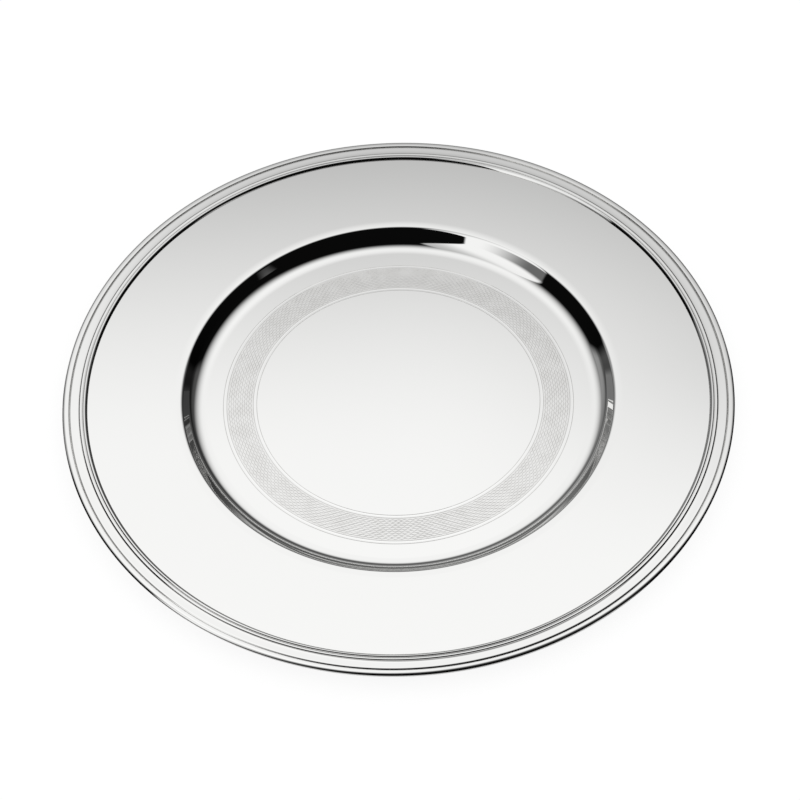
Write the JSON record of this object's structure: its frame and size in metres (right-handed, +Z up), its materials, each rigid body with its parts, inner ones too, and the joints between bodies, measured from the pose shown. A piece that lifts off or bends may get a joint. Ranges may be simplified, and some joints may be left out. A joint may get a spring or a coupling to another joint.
{
  "type": "offering plate",
  "caption": "Round shallow plate with a flat engraved well, a curved wall, a broad rim and a raised reeded border.",
  "frame": {"origin": "centre of the flat underside that the plate rests on", "axes": "+Z up along the plate's axis, out of the open well; the plate is round, so +X and +Y are any two square directions across it"},
  "size_m": [0.31, 0.31, 0.0103],
  "materials": {
    "polished_sheet": "polished",
    "polished_wire": "polished"
  },
  "bodies": {
    "root": {"plate_body": "polished_sheet", "inner_thread_wire": "polished_wire", "outer_thread_wire": "polished_wire", "border_moulding_wire": "polished_wire", "edge_bead_wire": "polished_wire"}
  },
  "joints": []
}
